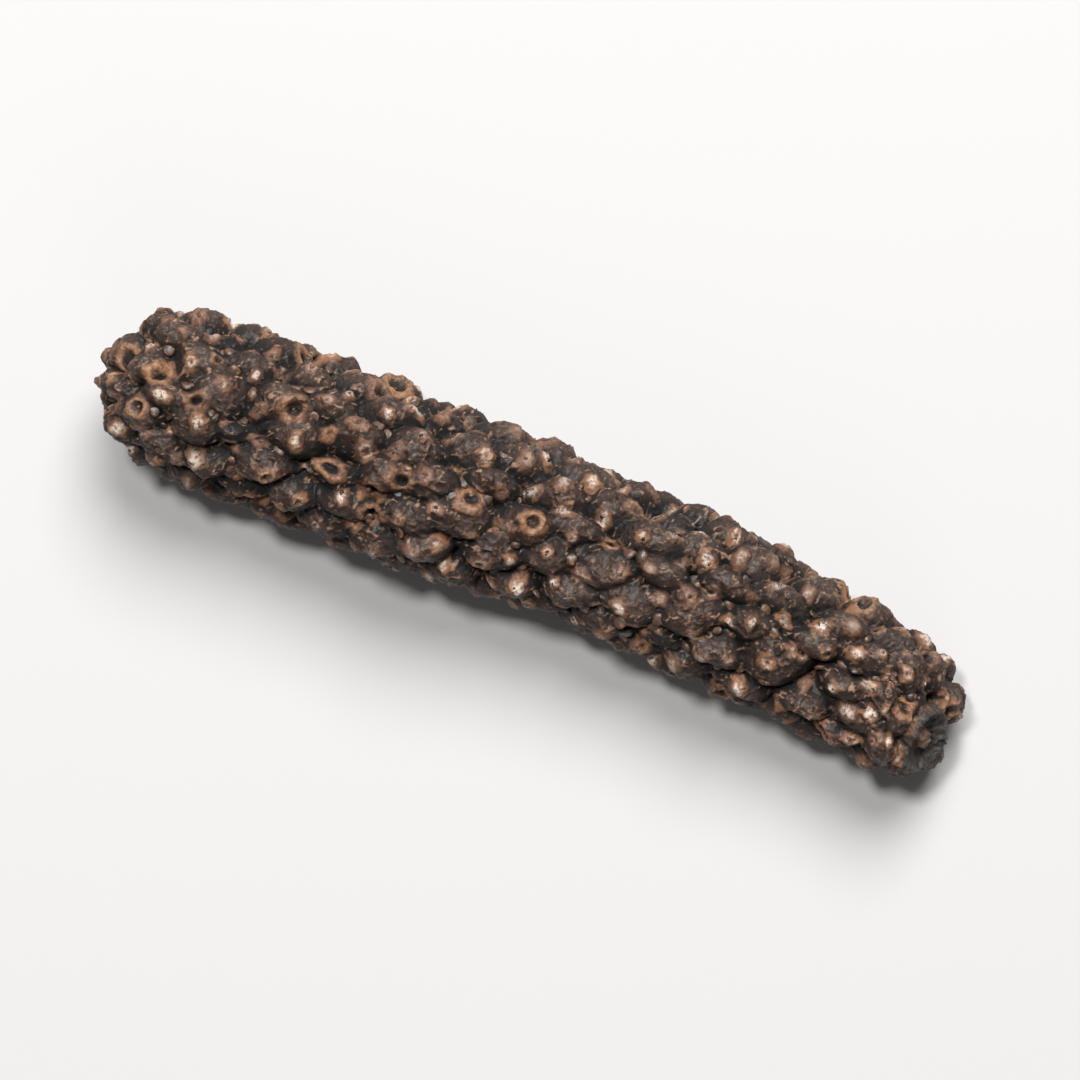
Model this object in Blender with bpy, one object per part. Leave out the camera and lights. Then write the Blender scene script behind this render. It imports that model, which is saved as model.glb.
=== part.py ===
"""One dried long pepper: the fruit spike of a climbing vine, lying on its side.

The spike grew as one piece. More than two hundred small fruits, the drupelets, are packed in
spirals round a hidden stem and have grown together where they meet, so the whole is one solid.
+X runs from the rounded tip to the blunt base, where the stalk broke off. +Z is up, and the
lowest drupelets rest on Z = 0.
"""

import math

import bmesh
import bpy
import numpy as np

# Driving dimensions, in metres
LENGTH = 0.0263
CROWN_RADIUS = 0.00276
BEND = 0.00115
DRUPELET_PITCH = 0.00153
DRUPELET_HEIGHT = 0.00105
SCAR_RADIUS = 0.00105
SCAR_DEPTH = 0.00050
STALK_STUB_RADIUS = 0.00036
STALK_STUB_HEIGHT = 0.00028
FLAT_DEPTH = 0.00016

# Form of the spike under its drupelets
TIP_BLUNTNESS = 9
BASE_BLUNTNESS = 24
MIDDLE_NARROWING = 0.07
BASE_NARROWING = 0.06
SWELLING = 0.017
SWELLINGS_ALONG = 3.2
BASE_SLANT = 0.45
SLANT_START = 0.75
UNDERSIDE_FLATTENING = 0.06
FLATTENED_FROM = 0.7
END_LIFT = 0.00022

# Hollows that drying leaves along the spike: angle at the tip, turn to the base, half width, depth
FURROWS = (
    (1.15, 1.1, 0.30, 0.00030),
    (3.40, -0.7, 0.38, 0.00021),
    (5.30, 0.8, 0.33, 0.00018),
)
FURROW_FADING = 0.45
FURROW_FADINGS_ALONG = 1.4

# How the drupelets differ from each other
SEED = 11
TIP_DRUPELET_SCALE = 0.9
TIP_STRETCH = 0.003
DRUPELET_REACH = 0.64
ROW_STRIDE = 13
ROW_STRETCH = 1.12
ROW_NARROWING = 0.94
PLACE_JITTER = 0.13
SIZE_SPREAD = 0.15
LOWEST_CROWN = 0.00014
SHRIVELLED_SHARE = 0.07
SHRIVELLED_DEPTH = 0.00024

# Where the stalk broke off: back from the end, and round the spike
SCAR_FROM_END = 0.0010
SCAR_ANGLE = 2.3

# Finish
SKIN_COLOUR = (0.091, 0.060, 0.048, 1.0)
SKIN_ROUGHNESS = 0.5

# Fineness of the mesh
COLUMNS = 112
RINGS = 210
TRIANGLES = 10800
PROFILE_STEPS = 4000
FLOOR_CUTTER_THICKNESS = 0.004

GOLDEN_ANGLE = math.pi * (3 - math.sqrt(5))


def clear_scene():
    for scene_object in list(bpy.data.objects):
        bpy.data.objects.remove(scene_object)


def new_collection(name):
    collection = bpy.data.collections.new(name)
    bpy.context.scene.collection.children.link(collection)
    return collection


def smooth_step(value, low, high):
    t = np.clip((value - low) / (high - low), 0, 1)
    return t * t * (3 - 2 * t)


def profile():
    """Half the outline from tip to base: distance along it, x, and radius as a share of the full one."""
    turn = np.linspace(0, math.pi, PROFILE_STEPS)
    at_tip = turn < math.pi / 2
    reach = np.abs(np.cos(turn)) ** (2 / np.where(at_tip, TIP_BLUNTNESS, BASE_BLUNTNESS))
    x = LENGTH / 2 * np.where(at_tip, -reach, reach)
    share = np.sin(turn)
    steps = np.hypot(np.diff(x), np.diff(share * CROWN_RADIUS))
    return np.concatenate([[0], np.cumsum(steps)]), x, share


ALONG, PROFILE_X, PROFILE_SHARE = profile()


def full_radius(x):
    """Radius over the crowns where the ends don't round it: it is largest a third of the way along."""
    t = x / LENGTH + 0.5
    narrowing = MIDDLE_NARROWING * smooth_step(t, 0.35, 0.62) + BASE_NARROWING * smooth_step(t, 0.60, 0.95)
    swelling = SWELLING * np.sin(math.tau * SWELLINGS_ALONG * t)
    return CROWN_RADIUS * (1 - narrowing + swelling)


def furrow_depth(x, angle):
    """Depth of the lengthwise hollows, each of which winds slowly round the spike and fades twice."""
    t = x / LENGTH + 0.5
    total = 0
    for start, turn, half_width, depth in FURROWS:
        away = np.angle(np.exp(1j * (angle - start - turn * t)))
        strength = 1 - FURROW_FADING * (1 - np.sin(math.tau * FURROW_FADINGS_ALONG * t + start))
        total = total + depth * strength * np.exp(-((away / half_width) ** 2))
    return total


def envelope(along, angle):
    """The surface that touches the drupelets' crowns. The angle is 0 at +Y and a quarter turn at +Z."""
    x = np.interp(along, ALONG, PROFILE_X)
    share = np.interp(along, ALONG, PROFILE_SHARE)
    radius = share * (full_radius(x) - furrow_depth(x, angle))
    from_middle = 2 * x / LENGTH
    underside = smooth_step(-np.sin(angle), FLATTENED_FROM, 1)
    across = radius * np.cos(angle)
    up = radius * (np.sin(angle) + UNDERSIDE_FLATTENING * underside)
    bend = BEND * np.clip(from_middle, 0, None) ** 2
    slant = BASE_SLANT * up * smooth_step(from_middle, SLANT_START, 1)
    axis_height = full_radius(x) * (1 - UNDERSIDE_FLATTENING) - FLAT_DEPTH + END_LIFT * from_middle**4
    return np.stack([x - slant, across - bend, axis_height + up], axis=-1)


def envelope_normals(along, angle):
    """Outward normals of the envelope, from its neighbouring points. At the two ends they lie along X."""
    ahead = np.clip(along + ALONG[-1] / RINGS, 0, ALONG[-1])
    behind = np.clip(along - ALONG[-1] / RINGS, 0, ALONG[-1])
    turn = math.tau / COLUMNS
    lengthwise = envelope(ahead, angle) - envelope(behind, angle)
    round_it = envelope(along, angle + turn) - envelope(along, angle - turn)
    normals = np.cross(round_it, lengthwise)
    lengths = np.linalg.norm(normals, axis=1)
    ends = lengths < 1e-6 * lengths.max()
    lengths[ends] = 1
    normals[ends] = np.sign(envelope(along, angle)[ends, :1]) * [1.0, 0.0, 0.0]
    return normals / lengths[:, None]


def drupelets():
    """Centre on the envelope, row direction, radius and crown depth of each drupelet, as they grew.

    Each is the golden angle on from the last, at the distance along that gives all of them like room.
    Every thirteenth one stands in the same row, which winds steeply up the spike.
    """
    random = np.random.default_rng(SEED)
    radius = PROFILE_SHARE * full_radius(PROFILE_X)
    from_tip = smooth_step(PROFILE_X + LENGTH / 2, 0, TIP_STRETCH)
    scale = TIP_DRUPELET_SCALE + (1 - TIP_DRUPELET_SCALE) * from_tip
    room = math.sqrt(3) / 2 * (DRUPELET_PITCH * scale) ** 2
    per_length = math.tau * radius / room
    grown = np.cumsum(np.diff(ALONG, prepend=0) * per_length)
    number = np.arange(int(grown[-1]))
    count = len(number)

    along = np.interp(number + 0.5, grown, ALONG)
    size = np.interp(along, ALONG, scale)
    jitter = DRUPELET_PITCH * size * random.uniform(-PLACE_JITTER, PLACE_JITTER, (2, count))
    turn_radius = np.maximum(np.interp(along, ALONG, radius), DRUPELET_PITCH / 3)
    places = np.clip(along + jitter[0], 0, ALONG[-1])
    centres = envelope(places, number * GOLDEN_ANGLE + jitter[1] / turn_radius)
    next_in_row = centres[np.minimum(number + ROW_STRIDE, count - 1)]
    last_in_row = centres[np.maximum(number - ROW_STRIDE, 0)]
    rows = next_in_row - last_in_row
    rows /= np.linalg.norm(rows, axis=1, keepdims=True)

    spread = random.uniform(1 - SIZE_SPREAD, 1 + SIZE_SPREAD, count)
    radii = DRUPELET_REACH * DRUPELET_PITCH * size * spread
    crown_depths = random.uniform(0, LOWEST_CROWN, count)
    crown_depths += SHRIVELLED_DEPTH * (random.uniform(0, 1, count) < SHRIVELLED_SHARE)
    return centres, rows, radii, crown_depths


def depth_of_domes(points):
    """How far under the envelope each of its points comes to lie, on the highest drupelet there."""
    depths = np.full(len(points), DRUPELET_HEIGHT)
    centres, rows, radii, crown_depths = drupelets()
    for centre, row, radius, crown_depth in zip(centres, rows, radii, crown_depths):
        offset = (points - centre) / radius
        along_row = offset @ row
        across = np.linalg.norm(offset - np.outer(along_row, row), axis=1)
        away = np.hypot(along_row / ROW_STRETCH, across / ROW_NARROWING)
        near = away < 1
        height = DRUPELET_HEIGHT * radius / radii.max()
        dome = crown_depth + height * (1 - np.sqrt(1 - away[near] ** 2))
        depths[near] = np.minimum(depths[near], dome)
    return depths


def with_stalk_scar(points, depths):
    """Smooths the drupelets away round the broken stalk: a shallow dish with a stub in its middle."""
    centre = envelope(ALONG[-1:] - SCAR_FROM_END, np.array([SCAR_ANGLE]))
    away = np.linalg.norm(points - centre, axis=1)
    dish = SCAR_DEPTH * (1 - smooth_step(away, 0.35 * SCAR_RADIUS, SCAR_RADIUS))
    stub = STALK_STUB_HEIGHT * (1 - smooth_step(away, 0.6 * STALK_STUB_RADIUS, STALK_STUB_RADIUS))
    inside = 1 - smooth_step(away, 0.85 * SCAR_RADIUS, 1.25 * SCAR_RADIUS)
    return depths * (1 - inside) + (dish - stub) * inside


def spike_mesh():
    """A ball whose rings are laid along the spike, with each vertex sunk onto its drupelet."""
    form = bmesh.new()
    bmesh.ops.create_uvsphere(form, u_segments=COLUMNS, v_segments=RINGS, radius=1)
    ball = np.array([vertex.co for vertex in form.verts])
    along = ALONG[-1] * np.arccos(np.clip(-ball[:, 2], -1, 1)) / math.pi
    angle = np.arctan2(ball[:, 1], ball[:, 0])
    surface = envelope(along, angle)
    depths = with_stalk_scar(surface, depth_of_domes(surface))
    places = surface - envelope_normals(along, angle) * depths[:, None]
    for vertex, place in zip(form.verts, places):
        vertex.co = place
    bmesh.ops.recalc_face_normals(form, faces=form.faces)
    mesh = bpy.data.meshes.new("long_pepper_spike")
    form.to_mesh(mesh)
    form.free()
    return mesh


def dried_skin():
    material = bpy.data.materials.new("dried_skin")
    material.use_nodes = True
    shader = material.node_tree.nodes["Principled BSDF"]
    shader.inputs["Base Color"].default_value = SKIN_COLOUR
    shader.inputs["Roughness"].default_value = SKIN_ROUGHNESS
    shader.inputs["Metallic"].default_value = 0
    return material


def build_floor_cutter(collection):
    """A slab under Z = 0 that takes a thin slice off the lowest crowns, where the spike rests."""
    form = bmesh.new()
    bmesh.ops.create_cube(form, size=1)
    bmesh.ops.scale(form, vec=(2 * LENGTH, LENGTH, FLOOR_CUTTER_THICKNESS), verts=form.verts)
    bmesh.ops.translate(form, vec=(0, 0, -FLOOR_CUTTER_THICKNESS / 2), verts=form.verts)
    mesh = bpy.data.meshes.new("floor_cutter")
    form.to_mesh(mesh)
    form.free()
    cutter = bpy.data.objects.new("floor_cutter", mesh)
    cutter.hide_render = True
    cutter.display_type = "WIRE"
    collection.objects.link(cutter)
    return cutter


def build_spike(collection, floor_cutter):
    spike = bpy.data.objects.new("long_pepper_spike", spike_mesh())
    spike.data.materials.append(dried_skin())
    spike.data.shade_smooth()
    collection.objects.link(spike)
    fewer_faces = spike.modifiers.new("fewer_faces", "DECIMATE")
    fewer_faces.ratio = TRIANGLES / (2 * COLUMNS * (RINGS - 1))
    resting_flats = spike.modifiers.new("resting_flats", "BOOLEAN")
    resting_flats.operation = "DIFFERENCE"
    resting_flats.solver = "EXACT"
    resting_flats.object = floor_cutter
    return spike


def stand_over_origin(spike):
    """Moves the spike level, so that the middle of its box is over the origin."""
    graph = bpy.context.evaluated_depsgraph_get()
    corners = np.array(spike.evaluated_get(graph).bound_box)
    middle = (corners.min(axis=0) + corners.max(axis=0)) / 2
    spike.location = (-middle[0], -middle[1], 0)


clear_scene()
cutter = build_floor_cutter(new_collection("cutters"))
stand_over_origin(build_spike(new_collection("long_pepper"), cutter))
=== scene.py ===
"""A dried long pepper spike on a pale table, seen from straight above under soft studio light."""

import math

import bmesh
import bpy
import numpy as np
from mathutils import Matrix, Vector, noise
from mathutils.bvhtree import BVHTree


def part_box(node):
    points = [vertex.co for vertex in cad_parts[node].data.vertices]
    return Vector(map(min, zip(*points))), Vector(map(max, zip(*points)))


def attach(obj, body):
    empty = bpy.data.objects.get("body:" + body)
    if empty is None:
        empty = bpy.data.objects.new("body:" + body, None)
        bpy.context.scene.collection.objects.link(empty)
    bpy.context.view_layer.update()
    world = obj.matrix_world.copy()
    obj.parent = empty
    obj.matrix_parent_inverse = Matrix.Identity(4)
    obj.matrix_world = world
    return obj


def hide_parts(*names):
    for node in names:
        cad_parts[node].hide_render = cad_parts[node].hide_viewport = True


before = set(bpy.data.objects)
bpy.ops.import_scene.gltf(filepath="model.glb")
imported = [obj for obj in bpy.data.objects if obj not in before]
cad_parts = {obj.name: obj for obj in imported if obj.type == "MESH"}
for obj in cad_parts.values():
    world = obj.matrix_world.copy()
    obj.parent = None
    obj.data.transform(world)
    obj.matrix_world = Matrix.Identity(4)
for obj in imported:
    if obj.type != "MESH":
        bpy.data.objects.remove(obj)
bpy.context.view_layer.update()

# The camera looks straight down, as the photograph faces the spike's side. It is turned about its
# line of sight until the spike runs down to the right, and the frame is filled by the spike.
VIEW_TURN_DEG = 21.0
VIEW_HEIGHT = 0.172
VIEW_LENS = 200.0
VIEW_CENTRE = (0.0002, -0.0001)

camera_data = bpy.data.cameras.new("camera")
camera_data.lens = VIEW_LENS
camera_data.clip_start = 0.005
camera_data.clip_end = 5.0
camera = bpy.data.objects.new("camera", camera_data)
camera.location = (*VIEW_CENTRE, VIEW_HEIGHT)
camera.rotation_euler = (0.0, 0.0, math.radians(VIEW_TURN_DEG))
bpy.context.scene.collection.objects.link(camera)
bpy.context.scene.camera = camera


# The table is a level, pale, matt board. It carries on past the frame on all sides, so no edge shows.
TABLE_SIZE = 1.6
TABLE_COLOUR = (0.405, 0.405, 0.41, 1.0)
TABLE_ROUGHNESS = 0.85

form = bmesh.new()
bmesh.ops.create_grid(form, x_segments=8, y_segments=8, size=TABLE_SIZE / 2)
mesh = bpy.data.meshes.new("table_top")
form.to_mesh(mesh)
form.free()
table_top = bpy.data.objects.new("table_top", mesh)
bpy.context.scene.collection.objects.link(table_top)
pale_board = bpy.data.materials.new("matt_pale_board")
pale_board.use_nodes = True
pale_board.node_tree.nodes["Principled BSDF"].inputs["Base Color"].default_value = TABLE_COLOUR
pale_board.node_tree.nodes["Principled BSDF"].inputs["Roughness"].default_value = TABLE_ROUGHNESS
mesh.materials.append(pale_board)


# Studio light: a soft box over the spike's far side, one above it, a weak one opposite, and pale
# walls all round. Each lamp has a name, a place, a width, a power and a colour.
LAMPS = (
    ("far_soft_box", (-0.03, 0.20, 0.27), 0.20, 1.98, (1.0, 0.98, 0.95)),
    ("top_soft_box", (-0.10, 0.06, 0.34), 0.055, 1.10, (1.0, 0.99, 0.97)),
    ("near_soft_box", (0.16, -0.26, 0.20), 0.20, 0.14, (1.0, 0.95, 0.90)),
)
ROOM_COLOUR = (0.95, 0.95, 0.95, 1.0)
ROOM_STRENGTH = 0.10

for name, place, size, power, colour in LAMPS:
    lamp_data = bpy.data.lights.new(name, "AREA")
    lamp_data.shape = "DISK"
    lamp_data.size = size
    lamp_data.energy = power
    lamp_data.color = colour
    lamp = bpy.data.objects.new(name, lamp_data)
    lamp.location = place
    lamp.rotation_euler = Vector(place).to_track_quat("Z", "Y").to_euler()
    bpy.context.scene.collection.objects.link(lamp)

room = bpy.data.worlds.new("studio")
room.use_nodes = True
room.node_tree.nodes["Background"].inputs["Color"].default_value = ROOM_COLOUR
room.node_tree.nodes["Background"].inputs["Strength"].default_value = ROOM_STRENGTH
bpy.context.scene.world = room
bpy.context.scene.view_settings.view_transform = "Standard"


# The spike's skin: one dried body of over two hundred drupelets, packed in spirals round the
# stem and grown together where they meet. Each crown has shrunk, sunk in its middle and wrinkled.
LENGTH = 0.0263
CROWN_RADIUS = 0.00276
BEND = 0.00115
DRUPELET_PITCH = 0.00153
DRUPELET_HEIGHT = 0.00105
SCAR_RADIUS = 0.00105
SCAR_DEPTH = 0.00050
STALK_STUB_RADIUS = 0.00036
STALK_STUB_HEIGHT = 0.00028
FLAT_DEPTH = 0.00016
TIP_BLUNTNESS = 9
BASE_BLUNTNESS = 24
MIDDLE_NARROWING = 0.07
BASE_NARROWING = 0.06
SWELLING = 0.017
SWELLINGS_ALONG = 3.2
BASE_SLANT = 0.45
SLANT_START = 0.75
UNDERSIDE_FLATTENING = 0.06
FLATTENED_FROM = 0.7
END_LIFT = 0.00022
FURROWS = (
    (1.15, 1.1, 0.30, 0.00030),
    (3.40, -0.7, 0.38, 0.00021),
    (5.30, 0.8, 0.33, 0.00018),
)
FURROW_FADING = 0.45
FURROW_FADINGS_ALONG = 1.4
SEED = 11
TIP_DRUPELET_SCALE = 0.9
TIP_STRETCH = 0.003
DRUPELET_REACH = 0.64
ROW_STRIDE = 13
ROW_STRETCH = 1.12
ROW_NARROWING = 0.94
PLACE_JITTER = 0.13
SIZE_SPREAD = 0.15
LOWEST_CROWN = 0.00014
SHRIVELLED_SHARE = 0.07
SHRIVELLED_DEPTH = 0.00024
SCAR_FROM_END = 0.0010
SCAR_ANGLE = 2.3
GOLDEN_ANGLE = math.pi * (3 - math.sqrt(5))

# The drupelets' own tips stand on those swellings, closer together, with their pits and wrinkles.
# Pits and tips are given in shares of the tip's radius, and the scar's bands in shares of its own.
SKIN_COLUMNS = 236
SKIN_RINGS = 420
PROFILE_STEPS = 4000
SWELLING_HEIGHT = 0.00122
WARP_SIZE = 0.0011
WARP = 0.00022
SWAY_SHIFTS = (Vector((0.0, 0.0, 0.0)), Vector((31.7, 5.3, 11.9)), Vector((-17.1, 43.9, 7.7)))
TIP_PITCH = 0.00106
TIP_RADIUS = (0.00025, 0.00042)
TIP_HEIGHT = (0.00008, 0.00017)
TIP_ROUNDNESS = 0.75
TIPS_SUNK = 0.00002
PIT_SHARE = 0.40
PIT_RADIUS = (0.20, 0.42)
PIT_DEPTH = (0.00008, 0.00018)
CRATER_SHARE = 0.10
CRATER_RADIUS = 0.00054
CRATER_PIT = 0.45
CRATER_DEPTH = 0.00032
PIT_EDGE = (0.4, 1.2)
RIM_WIDTH = 0.22
FOLD_COUNT = (4, 8)
FOLD_DEPTH = 0.10
LUMP_SIZE = 0.00095
LUMP_DEPTH = 0.00012
LUMP_MIDDLE = 0.3
WRINKLE_SIZE = 0.00028
WRINKLE_DEPTH = 0.00009
WRINKLE_FRACTAL = (1.0, 2.0, 2, 0.9, 2.0)
WRINKLE_MIDDLE = 1.2
GRAIN_SIZE = 0.00021
GRAIN_DEPTH = 0.00003
SCAR_RAYS = 17
SCAR_RAY_DEPTH = 0.00004
SCAR_RAGGEDNESS = 0.22
SCAR_RAG_SIZE = 0.0006
SCAR_RAY_SWAY = 6
SCAR_RAY_BAND = (0.3, 0.8)
SCAR_DISH_BAND = (0.35, 1.0)
SCAR_EDGE_BAND = (0.85, 1.15)
SCAR_RIM_PLACE = 1.12
SCAR_RIM_WIDTH = 0.16
STUB_SIDE_BAND = (0.6, 1.0)
STUB_WOOD_BAND = (0.8, 1.6)


def smooth_step(value, low, high):
    t = np.clip((value - low) / (high - low), 0, 1)
    return t * t * (3 - 2 * t)


def profile():
    """Half the outline from tip to base: distance along it, x, and radius as a share of the full one."""
    turn = np.linspace(0, math.pi, PROFILE_STEPS)
    at_tip = turn < math.pi / 2
    reach = np.abs(np.cos(turn)) ** (2 / np.where(at_tip, TIP_BLUNTNESS, BASE_BLUNTNESS))
    x = LENGTH / 2 * np.where(at_tip, -reach, reach)
    share = np.sin(turn)
    steps = np.hypot(np.diff(x), np.diff(share * CROWN_RADIUS))
    return np.concatenate([[0], np.cumsum(steps)]), x, share


ALONG, PROFILE_X, PROFILE_SHARE = profile()


def full_radius(x):
    """Radius over the crowns where the ends don't round it: it is largest a third of the way along."""
    t = x / LENGTH + 0.5
    narrowing = MIDDLE_NARROWING * smooth_step(t, 0.35, 0.62)
    narrowing += BASE_NARROWING * smooth_step(t, 0.60, 0.95)
    swelling = SWELLING * np.sin(math.tau * SWELLINGS_ALONG * t)
    return CROWN_RADIUS * (1 - narrowing + swelling)


def furrow_depth(x, angle):
    """Depth of the lengthwise hollows, each of which winds slowly round the spike and fades twice."""
    t = x / LENGTH + 0.5
    total = 0
    for start, turn, half_width, depth in FURROWS:
        away = np.angle(np.exp(1j * (angle - start - turn * t)))
        strength = 1 - FURROW_FADING * (1 - np.sin(math.tau * FURROW_FADINGS_ALONG * t + start))
        total = total + depth * strength * np.exp(-((away / half_width) ** 2))
    return total


def envelope(along, angle):
    """The surface that touches the drupelets' crowns. The angle is 0 at +Y and a quarter turn at +Z."""
    x = np.interp(along, ALONG, PROFILE_X)
    share = np.interp(along, ALONG, PROFILE_SHARE)
    radius = share * (full_radius(x) - furrow_depth(x, angle))
    from_middle = 2 * x / LENGTH
    underside = smooth_step(-np.sin(angle), FLATTENED_FROM, 1)
    across = radius * np.cos(angle)
    up = radius * (np.sin(angle) + UNDERSIDE_FLATTENING * underside)
    bend = BEND * np.clip(from_middle, 0, None) ** 2
    slant = BASE_SLANT * up * smooth_step(from_middle, SLANT_START, 1)
    axis_height = full_radius(x) * (1 - UNDERSIDE_FLATTENING) - FLAT_DEPTH + END_LIFT * from_middle**4
    return np.stack([x - slant, across - bend, axis_height + up], axis=-1)


def directions(along, angle):
    """Unit vectors of the envelope: outward, towards the base, and round the spike."""
    step = ALONG[-1] / 300
    turn = math.tau / 150
    ahead = envelope(np.clip(along + step, 0, ALONG[-1]), angle)
    behind = envelope(np.clip(along - step, 0, ALONG[-1]), angle)
    lengthwise = ahead - behind
    round_it = envelope(along, angle + turn) - envelope(along, angle - turn)
    outward = np.cross(round_it, lengthwise)
    lengths = np.linalg.norm(outward, axis=1)
    ends = lengths < 1e-6 * lengths.max()
    lengths[ends] = 1
    outward[ends] = np.sign(envelope(along, angle)[ends, :1]) * [1.0, 0.0, 0.0]
    outward = outward / lengths[:, None]
    lengthwise = lengthwise / np.linalg.norm(lengthwise, axis=1, keepdims=True)
    return outward, lengthwise, np.cross(lengthwise, outward)


def grow(pitch, random):
    """Distance along, angle and size of points on the spike, about a pitch from their neighbours.

    Each is the golden angle on from the last, at the distance along that gives all of them like room.
    """
    radius = PROFILE_SHARE * full_radius(PROFILE_X)
    from_tip = smooth_step(PROFILE_X + LENGTH / 2, 0, TIP_STRETCH)
    scale = TIP_DRUPELET_SCALE + (1 - TIP_DRUPELET_SCALE) * from_tip
    room_each = math.sqrt(3) / 2 * (pitch * scale) ** 2
    per_length = math.tau * radius / room_each
    grown = np.cumsum(np.diff(ALONG, prepend=0) * per_length)
    number = np.arange(int(grown[-1]))

    along = np.interp(number + 0.5, grown, ALONG)
    size = np.interp(along, ALONG, scale)
    jitter = pitch * size * random.uniform(-PLACE_JITTER, PLACE_JITTER, (2, len(number)))
    turn_radius = np.maximum(np.interp(along, ALONG, radius), pitch / 3)
    places = np.clip(along + jitter[0], 0, ALONG[-1])
    return places, number * GOLDEN_ANGLE + jitter[1] / turn_radius, size


random = np.random.default_rng(SEED)
swelling_along, swelling_angle, swelling_size = grow(DRUPELET_PITCH, random)
swelling_count = len(swelling_along)
spread = random.uniform(1 - SIZE_SPREAD, 1 + SIZE_SPREAD, swelling_count)
swelling_radius = DRUPELET_REACH * DRUPELET_PITCH * swelling_size * spread
crown_depth = random.uniform(0, LOWEST_CROWN, swelling_count)
crown_depth += SHRIVELLED_DEPTH * (random.uniform(0, 1, swelling_count) < SHRIVELLED_SHARE)
swelling_centre = envelope(swelling_along, swelling_angle)
number = np.arange(swelling_count)
swelling_row = swelling_centre[np.minimum(number + ROW_STRIDE, swelling_count - 1)]
swelling_row = swelling_row - swelling_centre[np.maximum(number - ROW_STRIDE, 0)]
swelling_row /= np.linalg.norm(swelling_row, axis=1, keepdims=True)

random = np.random.default_rng(SEED + 1)
tip_along, tip_angle = grow(TIP_PITCH, random)[:2]
tip_count = len(tip_along)
tip_centre = envelope(tip_along, tip_angle)
tip_out, tip_lengthwise, tip_round = directions(tip_along, tip_angle)
tip_radius = random.uniform(*TIP_RADIUS, tip_count)
tip_height = random.uniform(*TIP_HEIGHT, tip_count)
pit_radius = random.uniform(*PIT_RADIUS, tip_count)
pit_depth = random.uniform(*PIT_DEPTH, tip_count) * (random.uniform(0, 1, tip_count) < PIT_SHARE)
crater = random.uniform(0, 1, tip_count) < CRATER_SHARE
tip_radius[crater] = CRATER_RADIUS
tip_height[crater] = np.mean(TIP_HEIGHT)
pit_radius[crater] = CRATER_PIT
pit_depth[crater] = CRATER_DEPTH
fold_count = random.integers(*FOLD_COUNT, tip_count)
fold_phase = random.uniform(0, math.tau, tip_count)
tip_tint = random.uniform(0, 1, tip_count)


def sway(place):
    """A smooth pseudo-random vector at a place: plain noise read at three places far apart."""
    return Vector([noise.noise(place + shift) for shift in SWAY_SHIFTS])


def lay_skin(points):
    """Depth under the envelope; for the material, share of a tip's height, nearness to a rim, tint."""
    warped = points + WARP * np.array([sway(Vector(point)) for point in points / WARP_SIZE])
    depths = np.full(len(points), SWELLING_HEIGHT)
    for i in range(swelling_count):
        reach = ROW_STRETCH * swelling_radius[i]
        near = np.flatnonzero(np.abs(warped[:, 0] - swelling_centre[i, 0]) < reach)
        offset = (warped[near] - swelling_centre[i]) / swelling_radius[i]
        u = offset @ swelling_row[i]
        across = np.linalg.norm(offset - np.outer(u, swelling_row[i]), axis=1)
        away = np.hypot(u / ROW_STRETCH, across / ROW_NARROWING)
        dome = crown_depth[i] + SWELLING_HEIGHT * (1 - np.sqrt(1 - np.clip(away, 0, 1) ** 2))
        depths[near] = np.minimum(depths[near], dome)
    relief = np.zeros(len(points))
    tips = np.zeros(len(points))
    rim = np.zeros(len(points))
    tint = np.full(len(points), 0.5)
    for i in range(tip_count):
        near = np.flatnonzero(np.abs(warped[:, 0] - tip_centre[i, 0]) < tip_radius[i])
        offset = (warped[near] - tip_centre[i]) / tip_radius[i]
        away = np.linalg.norm(offset, axis=1)
        near = near[away < 1]
        offset = offset[away < 1]
        away = away[away < 1]
        around = np.arctan2(offset @ tip_round[i], offset @ tip_lengthwise[i])
        folds = 1 + FOLD_DEPTH * np.cos(fold_count[i] * around + fold_phase[i])
        share = np.clip(1 - (away * folds) ** 2, 0, 1) ** TIP_ROUNDNESS
        floor_edge, wall_edge = np.array(PIT_EDGE) * pit_radius[i]
        pit = pit_depth[i] * (1 - smooth_step(away, floor_edge, wall_edge))
        wall = np.exp(-(((away - wall_edge) / RIM_WIDTH) ** 2)) * (pit_depth[i] > 0)
        height = tip_height[i] * share - pit
        taller = height > relief[near]
        pitted = taller | (pit > 0)
        chosen = near[pitted]
        relief[chosen] = height[pitted]
        tips[chosen] = share[pitted] * (1 - np.clip(2 * pit[pitted] / CRATER_DEPTH, 0, 1))
        rim[chosen] = wall[pitted]
        tint[chosen] = tip_tint[i]
    return depths + TIPS_SUNK - relief, tips, rim, tint


def wrinkles(points):
    """Height in metres of the skin's lumps, folds and grain, and how far up a fold each point is."""
    heights = np.empty(len(points))
    folds = np.empty(len(points))
    for index, point in enumerate(points):
        place = Vector(point)
        folds[index] = noise.ridged_multi_fractal(place / WRINKLE_SIZE, *WRINKLE_FRACTAL) - WRINKLE_MIDDLE
        heights[index] = LUMP_DEPTH * (noise.noise(place / LUMP_SIZE) - LUMP_MIDDLE)
        heights[index] += GRAIN_DEPTH * noise.noise(place / GRAIN_SIZE)
    return heights + WRINKLE_DEPTH * folds, (folds - folds.mean()) / folds.std()


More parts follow.
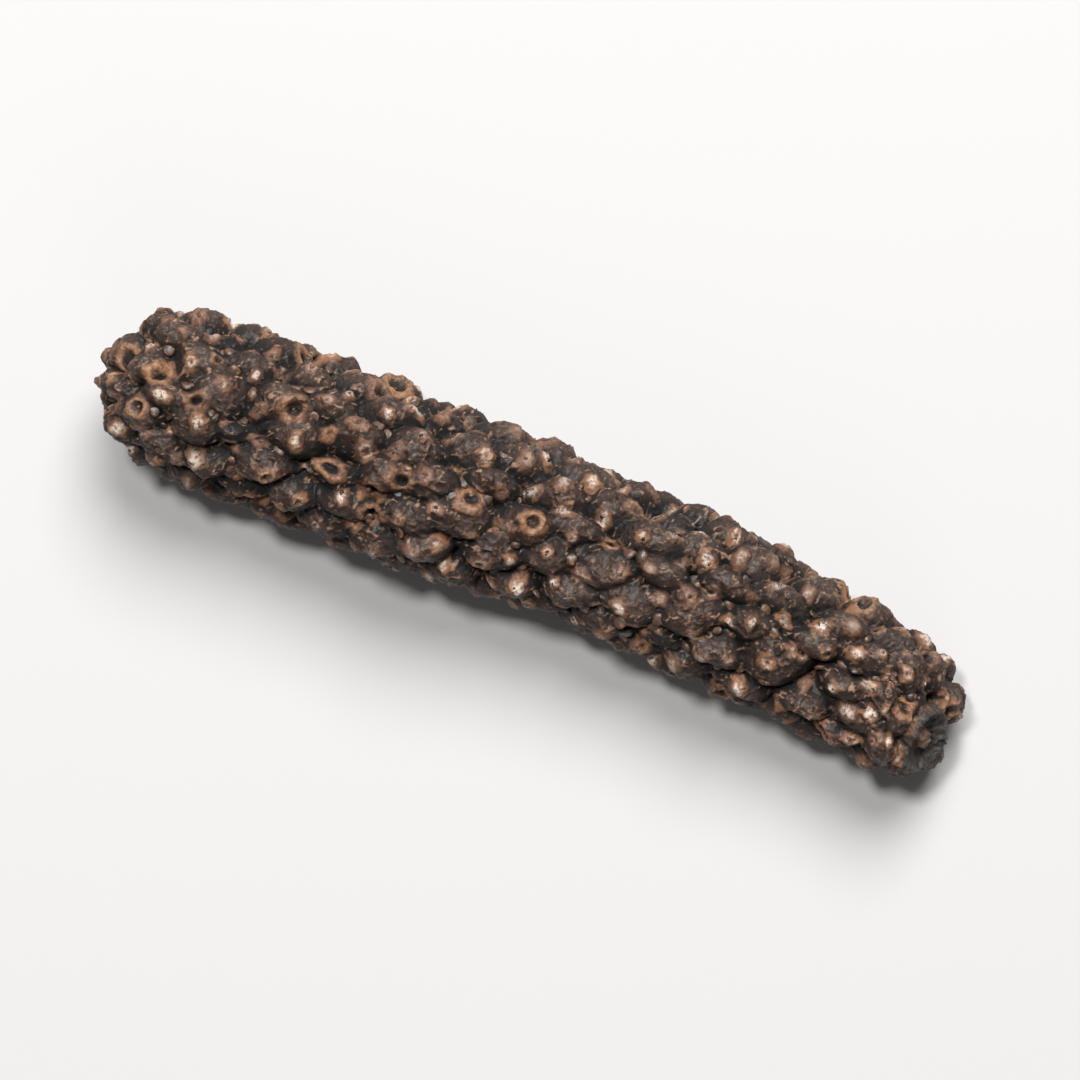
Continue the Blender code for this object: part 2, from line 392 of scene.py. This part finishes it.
form = bmesh.new()
bmesh.ops.create_uvsphere(form, u_segments=SKIN_COLUMNS, v_segments=SKIN_RINGS, radius=1)
bmesh.ops.recalc_face_normals(form, faces=form.faces)
skin_mesh = bpy.data.meshes.new("dried_skin")
form.to_mesh(skin_mesh)
form.free()
ball = np.empty(3 * len(skin_mesh.vertices))
skin_mesh.vertices.foreach_get("co", ball)
ball = ball.reshape(-1, 3)
skin_along = ALONG[-1] * np.arccos(np.clip(-ball[:, 2], -1, 1)) / math.pi
skin_angle = np.arctan2(ball[:, 1], ball[:, 0])
surface = envelope(skin_along, skin_angle)
outward = directions(skin_along, skin_angle)[0]
depths, tips, rim, tint = lay_skin(surface)

scar_centre = envelope(ALONG[-1:] - SCAR_FROM_END, np.array([SCAR_ANGLE]))[0]
ragged = np.array([noise.noise(point) for point in surface / SCAR_RAG_SIZE])
from_scar = np.linalg.norm(surface - scar_centre, axis=1) * (1 + SCAR_RAGGEDNESS * ragged)
of_scar = from_scar / SCAR_RADIUS
of_stub = from_scar / STALK_STUB_RADIUS
dish = SCAR_DEPTH * (1 - smooth_step(of_scar, *SCAR_DISH_BAND))
stub = STALK_STUB_HEIGHT * (1 - smooth_step(of_stub, *STUB_SIDE_BAND))
in_scar = 1 - smooth_step(of_scar, *SCAR_EDGE_BAND)
depths = depths * (1 - in_scar) + (dish - stub) * in_scar
places = surface - outward * depths[:, None]
rays = np.arctan2((surface - scar_centre)[:, 2], (surface - scar_centre)[:, 1])
scar_rays = SCAR_RAY_DEPTH * np.cos(SCAR_RAYS * rays + SCAR_RAY_SWAY * ragged)
scar_rays *= smooth_step(of_scar, *SCAR_RAY_BAND)
scar_edge = np.exp(-(((of_scar - SCAR_RIM_PLACE) / SCAR_RIM_WIDTH) ** 2))
heights, crest = wrinkles(places)
places += outward * (heights + scar_rays * in_scar)[:, None]

cad_low, cad_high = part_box("long_pepper_spike")
cad_middle = (np.array(cad_low) + np.array(cad_high)) / 2
own_middle = (places.min(axis=0) + places.max(axis=0)) / 2
to_cad = np.array([cad_middle[0] - own_middle[0], cad_middle[1] - own_middle[1], 0])
places += to_cad
places[:, 2] = np.clip(places[:, 2], 0, None)
skin_mesh.vertices.foreach_set("co", places.ravel())
skin_mesh.update()
skin_mesh.shade_smooth()
for name, values in (
    ("depth", depths / SWELLING_HEIGHT),
    ("tip", tips * (1 - in_scar)),
    ("rim", np.maximum(rim * (1 - in_scar), scar_edge)),
    ("tint", tint),
    ("crest", crest),
    ("scar", in_scar),
    ("wood", 1 - smooth_step(of_stub, *STUB_WOOD_BAND)),
):
    attribute = skin_mesh.attributes.new(name, "FLOAT", "POINT")
    attribute.data.foreach_set("value", values.astype(np.float32))

dried_skin = bpy.data.objects.new("dried_skin", skin_mesh)
bpy.context.scene.collection.objects.link(dried_skin)
skin_faces = [tuple(face.vertices) for face in skin_mesh.polygons]
skin_tree = BVHTree.FromPolygons(places.tolist(), skin_faces)


def read_attribute(tree, name):
    node = tree.nodes.new("ShaderNodeAttribute")
    node.attribute_name = name
    return node.outputs["Fac"]


def noise_texture(tree, place, size, detail_levels, roughness=0.5, distortion=0.0, kind="FBM"):
    node = tree.nodes.new("ShaderNodeTexNoise")
    node.noise_type = kind
    node.inputs["Scale"].default_value = 1 / size
    node.inputs["Detail"].default_value = detail_levels
    node.inputs["Roughness"].default_value = roughness
    node.inputs["Distortion"].default_value = distortion
    tree.links.new(place, node.inputs["Vector"])
    return node.outputs["Fac"]


def between(tree, value, low, high, to_low=0.0, to_high=1.0):
    node = tree.nodes.new("ShaderNodeMapRange")
    node.interpolation_type = "SMOOTHSTEP"
    node.inputs["From Min"].default_value = low
    node.inputs["From Max"].default_value = high
    node.inputs["To Min"].default_value = to_low
    node.inputs["To Max"].default_value = to_high
    tree.links.new(value, node.inputs["Value"])
    return node.outputs["Result"]


def bump_normal(tree, height, depth, below=None):
    node = tree.nodes.new("ShaderNodeBump")
    node.inputs["Strength"].default_value = 1.0
    node.inputs["Distance"].default_value = depth
    tree.links.new(height, node.inputs["Height"])
    if below is not None:
        tree.links.new(below, node.inputs["Normal"])
    return node.outputs["Normal"]


def multiply(tree, first, second):
    node = tree.nodes.new("ShaderNodeMath")
    node.operation = "MULTIPLY"
    for socket, value in zip(node.inputs, (first, second)):
        if isinstance(value, float):
            socket.default_value = value
        else:
            tree.links.new(value, socket)
    return node.outputs[0]


def blend_colour(tree, share, first, second):
    node = tree.nodes.new("ShaderNodeMix")
    node.data_type = "RGBA"
    tree.links.new(share, node.inputs["Factor"])
    for socket, value in ((node.inputs["A"], first), (node.inputs["B"], second)):
        if isinstance(value, tuple):
            socket.default_value = value
        else:
            tree.links.new(value, socket)
    return node.outputs["Result"]


CREASE_SHADE_BROWN = (0.0012, 0.0006, 0.0004, 1.0)
SKIN_BROWN = (0.021, 0.0088, 0.0052, 1.0)
TIP_BROWN = (0.112, 0.053, 0.031, 1.0)
TOP_PALE_AND_HIGHLIGHT = (0.600, 0.510, 0.440, 1.0)
RED_BROWN = (0.165, 0.076, 0.036, 1.0)
GREY_BROWN = (0.041, 0.025, 0.018, 1.0)
CREST_HIGHLIGHT_BROWN = (0.250, 0.145, 0.094, 1.0)
RIM_ORANGE = (0.270, 0.145, 0.080, 1.0)
SCAR_GREY = (0.028, 0.023, 0.021, 1.0)
WOOD_TAN = (0.120, 0.070, 0.042, 1.0)
BLOTCH_SIZE = 0.0018
MOTTLE_SIZE = 0.00042
SPECK_SIZE = 0.00012
SPECK_BUMP = 0.00005
FOLD_SIZE = 0.00026
FOLD_BUMP = 0.00010
FLECK_STRENGTH = 0.55

skin_finish = bpy.data.materials.new("dried_pepper_skin")
skin_finish.use_nodes = True
tree = skin_finish.node_tree
shader = tree.nodes["Principled BSDF"]
position = tree.nodes.new("ShaderNodeTexCoord").outputs["Object"]
depth_of_skin = read_attribute(tree, "depth")
on_tip = read_attribute(tree, "tip")
tint = read_attribute(tree, "tint")
blotches = noise_texture(tree, position, BLOTCH_SIZE, 3.0, 0.6)
mottle = noise_texture(tree, position, MOTTLE_SIZE, 5.0, 0.65)
specks = noise_texture(tree, position, SPECK_SIZE, 5.0, 0.70)
folds = noise_texture(tree, position, FOLD_SIZE, 5.0, 0.65, 0.4, "RIDGED_MULTIFRACTAL")
# Painted shade: the skin's colour sinks to near black down in the creases, deeper with depth, where shade
# falls.
colour = blend_colour(tree, between(tree, depth_of_skin, 0.42, 0.08), CREASE_SHADE_BROWN, SKIN_BROWN)
greyness = multiply(tree, between(tree, blotches, 0.46, 0.62), between(tree, depth_of_skin, 0.36, 0.06))
greyness = multiply(tree, greyness, between(tree, specks, 0.35, 0.60))
colour = blend_colour(tree, greyness, colour, GREY_BROWN)
# Painted highlight: the crests of the wrinkles are lightened to a pale brown, as if the light caught
# them.
on_crest = between(tree, read_attribute(tree, "crest"), 0.6, 1.6)
crest_highlight_share = multiply(tree, on_crest, between(tree, mottle, 0.42, 0.60))
colour = blend_colour(tree, crest_highlight_share, colour, CREST_HIGHLIGHT_BROWN)
tip_share = multiply(tree, between(tree, on_tip, 0.10, 0.75), between(tree, mottle, 0.30, 0.56))
colour = blend_colour(tree, tip_share, colour, TIP_BROWN)
redness = multiply(tree, between(tree, mottle, 0.42, 0.60), between(tree, tint, 0.35, 0.75))
colour = blend_colour(tree, multiply(tree, redness, between(tree, on_tip, 0.15, 0.70)), colour, RED_BROWN)
# Painted highlight: the very tops of the tips turn a pale, near-white beige; this is partly their own
# pale, dusty colour and partly glints painted in.
top_highlight_share = multiply(tree, between(tree, on_tip, 0.70, 1.0), between(tree, specks, 0.36, 0.58))
top_highlight_share = multiply(tree, top_highlight_share, between(tree, tint, 0.0, 0.7, 0.15, 0.90))
colour = blend_colour(tree, top_highlight_share, colour, TOP_PALE_AND_HIGHLIGHT)
on_rim = between(tree, read_attribute(tree, "rim"), 0.30, 0.95)
rim_share = multiply(tree, on_rim, between(tree, specks, 0.42, 0.60))
rim_share = multiply(tree, rim_share, between(tree, tint, 0.2, 0.9, 0.1, 0.8))
colour = blend_colour(tree, rim_share, colour, RIM_ORANGE)
fleck_share = multiply(tree, between(tree, specks, 0.56, 0.66), between(tree, depth_of_skin, 0.34, 0.04))
colour = blend_colour(tree, multiply(tree, fleck_share, FLECK_STRENGTH), colour, RIM_ORANGE)
colour = blend_colour(tree, read_attribute(tree, "scar"), colour, SCAR_GREY)
wood_share = multiply(tree, read_attribute(tree, "wood"), between(tree, specks, 0.35, 0.55))
colour = blend_colour(tree, wood_share, colour, WOOD_TAN)
tree.links.new(colour, shader.inputs["Base Color"])
unevenness = between(tree, mottle, 0.30, 0.70, 0.75, 1.25)
roughness = multiply(tree, unevenness, between(tree, depth_of_skin, 0.34, 0.02, 0.85, 0.42))
tree.links.new(roughness, shader.inputs["Roughness"])
shader.inputs["IOR"].default_value = 1.42
shader.inputs["Coat Weight"].default_value = 0.08
shader.inputs["Coat Roughness"].default_value = 0.24
shader.inputs["Coat IOR"].default_value = 1.55
folded = bump_normal(tree, folds, FOLD_BUMP)
tree.links.new(bump_normal(tree, specks, SPECK_BUMP, folded), shader.inputs["Normal"])
tree.links.new(folded, shader.inputs["Coat Normal"])
skin_mesh.materials.append(skin_finish)

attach(dried_skin, "root")
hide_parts("long_pepper_spike")


# Peltate bracts: a small round scale of papery brown tissue sits in the hollow at the foot of each
# drupelet, on a short stalk. Some have dried into a dish with a raised edge, some into a bead.
BRACT_COLUMNS = 10
BRACT_RINGS = 5
BRACT_RADIUS = (0.00014, 0.00025)
BRACT_THICKNESS = 0.45
BRACT_LIFT = (-0.00002, 0.00007)
BRACT_TILT = 0.32
BRACT_OFFSET = 0.56
BRACT_SHARE = 0.75
BRACT_DISH = (-0.3, 0.75)
BRACT_RAGGEDNESS = 0.00005
BRACT_RAG_SIZE = 0.00022
HOLLOW_SEARCH_DEG = 75
HOLLOW_SEARCH_STEPS = 11
SCAR_CLEARANCE = 1.2 * SCAR_RADIUS


def hollows():
    """The deepest place at the foot of each drupelet, on its side towards the base, with the way out."""
    swing = np.radians(np.linspace(-HOLLOW_SEARCH_DEG, HOLLOW_SEARCH_DEG, HOLLOW_SEARCH_STEPS))
    radius_here = np.interp(tip_along, ALONG, PROFILE_SHARE) * CROWN_RADIUS
    radius_here = np.maximum(radius_here, 0.4 * TIP_PITCH)
    along = tip_along[:, None] + BRACT_OFFSET * TIP_PITCH * np.cos(swing)
    angle = tip_angle[:, None] + BRACT_OFFSET * TIP_PITCH * np.sin(swing) / radius_here[:, None]
    along = np.clip(along, 0, ALONG[-1]).ravel()
    angle = angle.ravel()
    spots = envelope(along, angle)
    spot_depths = lay_skin(spots)[0].reshape(tip_count, -1)
    best = spot_depths.argmax(axis=1) + len(swing) * np.arange(tip_count)
    return spots[best], directions(along[best], angle[best])[0]


def seat_on_skin(spot, normal):
    """Where a line straight in from the spot meets the skin."""
    start = Vector(spot + to_cad + DRUPELET_HEIGHT * normal)
    return skin_tree.ray_cast(start, -Vector(normal))[0]


def turn_to(normal):
    return Vector(normal).to_track_quat("Z", "Y").to_matrix().to_4x4()


form = bmesh.new()
bmesh.ops.create_uvsphere(form, u_segments=BRACT_COLUMNS, v_segments=BRACT_RINGS, radius=1)
bract_mesh = bpy.data.meshes.new("bracts")
form.to_mesh(bract_mesh)
bract_points = [vertex.co.copy() for vertex in form.verts]
scatter = np.random.default_rng(SEED + 2)
moved = []
for spot, normal in zip(*hollows()):
    if np.linalg.norm(spot - scar_centre) < SCAR_CLEARANCE or scatter.uniform() > BRACT_SHARE:
        continue
    radius = scatter.uniform(*BRACT_RADIUS)
    dish = scatter.uniform(*BRACT_DISH)
    centre = np.array(seat_on_skin(spot, normal)) + normal * scatter.uniform(*BRACT_LIFT)
    lean_x = Matrix.Rotation(scatter.normal(0, BRACT_TILT), 4, "X")
    lean_y = Matrix.Rotation(scatter.normal(0, BRACT_TILT), 4, "Y")
    turned = Matrix.Translation(Vector(centre)) @ turn_to(normal) @ (lean_x @ lean_y)
    for point in bract_points:
        out = math.hypot(point.x, point.y)
        height = BRACT_THICKNESS * (point.z - dish * (1 - out * out) * max(point.z, 0.0))
        place = turned @ (radius * Vector((point.x, point.y, height)))
        moved.append(place + sway(place / BRACT_RAG_SIZE) * BRACT_RAGGEDNESS)
for _ in range(len(moved) // len(bract_points) - 1):
    form.from_mesh(bract_mesh)
for vertex, place in zip(form.verts, moved):
    vertex.co = place
    vertex.co.z = max(vertex.co.z, 0.0)
bmesh.ops.recalc_face_normals(form, faces=form.faces)
form.to_mesh(bract_mesh)
form.free()
bract_mesh.shade_smooth()
bracts = bpy.data.objects.new("bracts", bract_mesh)
bpy.context.scene.collection.objects.link(bracts)

BRACT_BROWN = (0.060, 0.030, 0.019, 1.0)
BRACT_ORANGE = (0.190, 0.085, 0.036, 1.0)
BRACT_DARK = (0.014, 0.008, 0.006, 1.0)
BRACT_PATCH_SIZE = 0.0011
BRACT_SPECK_SIZE = 0.00018
BRACT_SPECK_BUMP = 0.00003
bract_finish = bpy.data.materials.new("papery_bract")
bract_finish.use_nodes = True
tree = bract_finish.node_tree
shader = tree.nodes["Principled BSDF"]
position = tree.nodes.new("ShaderNodeTexCoord").outputs["Object"]
patches = noise_texture(tree, position, BRACT_PATCH_SIZE, 2.0)
specks = noise_texture(tree, position, BRACT_SPECK_SIZE, 4.0, 0.65)
colour = blend_colour(tree, between(tree, patches, 0.42, 0.60), BRACT_DARK, BRACT_BROWN)
colour = blend_colour(tree, between(tree, specks, 0.50, 0.68, 0.0, 0.8), colour, BRACT_ORANGE)
tree.links.new(colour, shader.inputs["Base Color"])
shader.inputs["Roughness"].default_value = 0.48
shader.inputs["Coat Weight"].default_value = 0.15
shader.inputs["Coat Roughness"].default_value = 0.22
tree.links.new(bump_normal(tree, specks, BRACT_SPECK_BUMP), shader.inputs["Normal"])
bract_mesh.materials.append(bract_finish)

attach(bracts, "root")
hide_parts("long_pepper_spike")


# Stigma remains: the flower left a little knob of dried lobes on the crown of most drupelets.
STIGMA_SHARE = 0.5
STIGMA_SIDES = 6
STIGMA_RADIUS = (0.00005, 0.00009)
STIGMA_HEIGHT = 0.00006
STIGMA_TAPER = 0.45
STIGMA_RAGGEDNESS = 0.00004
STIGMA_RAG_SIZE = 0.00012

form = bmesh.new()
scatter = np.random.default_rng(SEED + 3)
for index in range(tip_count):
    from_scar = np.linalg.norm(tip_centre[index] - scar_centre)
    if scatter.uniform() > STIGMA_SHARE or from_scar < SCAR_CLEARANCE:
        continue
    normal = tip_out[index]
    radius = scatter.uniform(*STIGMA_RADIUS)
    seat = seat_on_skin(tip_centre[index], normal)
    bmesh.ops.create_cone(
        form,
        cap_ends=True,
        segments=STIGMA_SIDES,
        radius1=radius,
        radius2=radius * STIGMA_TAPER,
        depth=STIGMA_HEIGHT,
        matrix=Matrix.Translation(seat) @ turn_to(normal),
    )
for vertex in form.verts:
    vertex.co += sway(vertex.co / STIGMA_RAG_SIZE) * STIGMA_RAGGEDNESS
    vertex.co.z = max(vertex.co.z, 0.0)
stigma_mesh = bpy.data.meshes.new("stigma_remains")
form.to_mesh(stigma_mesh)
form.free()
stigma_mesh.shade_smooth()
stigma_remains = bpy.data.objects.new("stigma_remains", stigma_mesh)
bpy.context.scene.collection.objects.link(stigma_remains)
stigma_mesh.materials.append(bract_finish)

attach(stigma_remains, "root")
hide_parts("long_pepper_spike")
